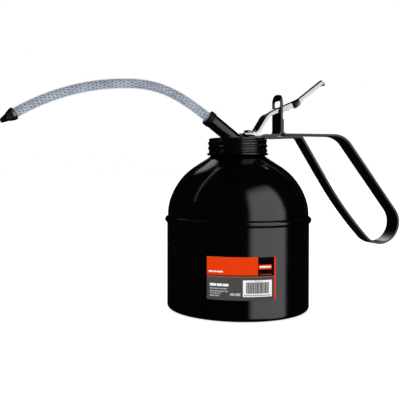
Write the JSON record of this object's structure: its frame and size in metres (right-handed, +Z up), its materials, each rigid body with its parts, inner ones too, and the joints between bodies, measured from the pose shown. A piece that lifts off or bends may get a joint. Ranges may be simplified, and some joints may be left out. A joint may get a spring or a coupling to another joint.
{
  "type": "hand pump oil can",
  "caption": "Domed metal oil can with a screw cap, thumb-lever plunger pump, strap handle and a bent flexible spout with a brass nozzle.",
  "frame": {"origin": "centre of the can's flat base, on the surface that it stands on", "axes": "+Z up along the can, +X towards the handle, -X towards the spout; the XZ plane is the plane of symmetry of the cap and handle"},
  "size_m": [0.2776, 0.098, 0.1544],
  "materials": {
    "can_paint": "gloss black stoved enamel",
    "fitting_paint": "gloss black enamel",
    "strap_paint": "semi-gloss black enamel",
    "label_paper": null,
    "seal_rubber": "matt nitrile rubber",
    "clear_pvc": "clear flexible PVC",
    "braid_wire": "braided bright steel wire",
    "core_tube": "dark oil-resistant inner tube",
    "ferrule_steel": "crimped steel, dull",
    "brass": "turned brass",
    "lever_plating": "bright nickel plating",
    "spring_steel": "drawn steel",
    "suction_plastic": "natural polyethylene"
  },
  "bodies": {
    "can": {"can_lower_shell": "can_paint", "can_dome_shell": "can_paint", "can_neck": "can_paint", "label": "label_paper"},
    "gasket": {"cap_gasket": "seal_rubber"},
    "head": {"cap_shell": "fitting_paint", "post_bracket": "fitting_paint", "handle_strap": "strap_paint", "spout_socket_tube": "fitting_paint", "spout_collar": "fitting_paint", "hose_cover": "clear_pvc", "hose_braid": "braid_wire", "hose_core": "core_tube", "tip_ferrule": "ferrule_steel", "nozzle_tip": "brass", "barrel_head": "brass", "gland_nut": "fitting_paint", "gland_packing": "seal_rubber", "pump_barrel": "brass", "foot_valve_body": "brass", "foot_valve_pin": "spring_steel", "suction_tube": "suction_plastic", "strainer": "suction_plastic", "return_spring": "spring_steel"},
    "lever": {"thumb_lever": "lever_plating"},
    "plunger": {"pump_rod": "spring_steel", "rod_button": "fitting_paint", "piston": "brass", "piston_cup": "seal_rubber"},
    "foot_ball": {"foot_valve_ball": "spring_steel"},
    "piston_ball": {"piston_valve_ball": "spring_steel"}
  },
  "joints": [
    {"name": "head_lift", "type": "slide", "parent": "can", "child": "gasket", "axis": [0, 0, 1], "range_m": [0, 0.112]},
    {"name": "cap_turn", "type": "hinge", "parent": "gasket", "child": "head", "pos_m": [0, 0, 0.1125], "axis": [0, 0, 1], "range_deg": [0, 1080]},
    {"name": "lever_press", "type": "hinge", "parent": "head", "child": "lever", "pos_m": [0.02937, 0, 0.1312], "axis": [0, 1, 0], "range_deg": [0, 20]},
    {"name": "plunger_stroke", "type": "slide", "parent": "head", "child": "plunger", "axis": [0, 0, 1], "range_m": [0, 0.0078], "stiffness_N_per_m": 250, "springref_m": -0.02, "deforming": ["return_spring"]},
    {"name": "foot_ball_lift", "type": "slide", "parent": "head", "child": "foot_ball", "axis": [0, 0, 1], "range_m": [0, 0.001]},
    {"name": "piston_ball_lift", "type": "slide", "parent": "plunger", "child": "piston_ball", "axis": [0, 0, 1], "range_m": [0, 0.001]}
  ],
  "couplings": [
    {"joint": "lever_press", "follows": "plunger_stroke", "rad_per_m": 44.743}
  ]
}
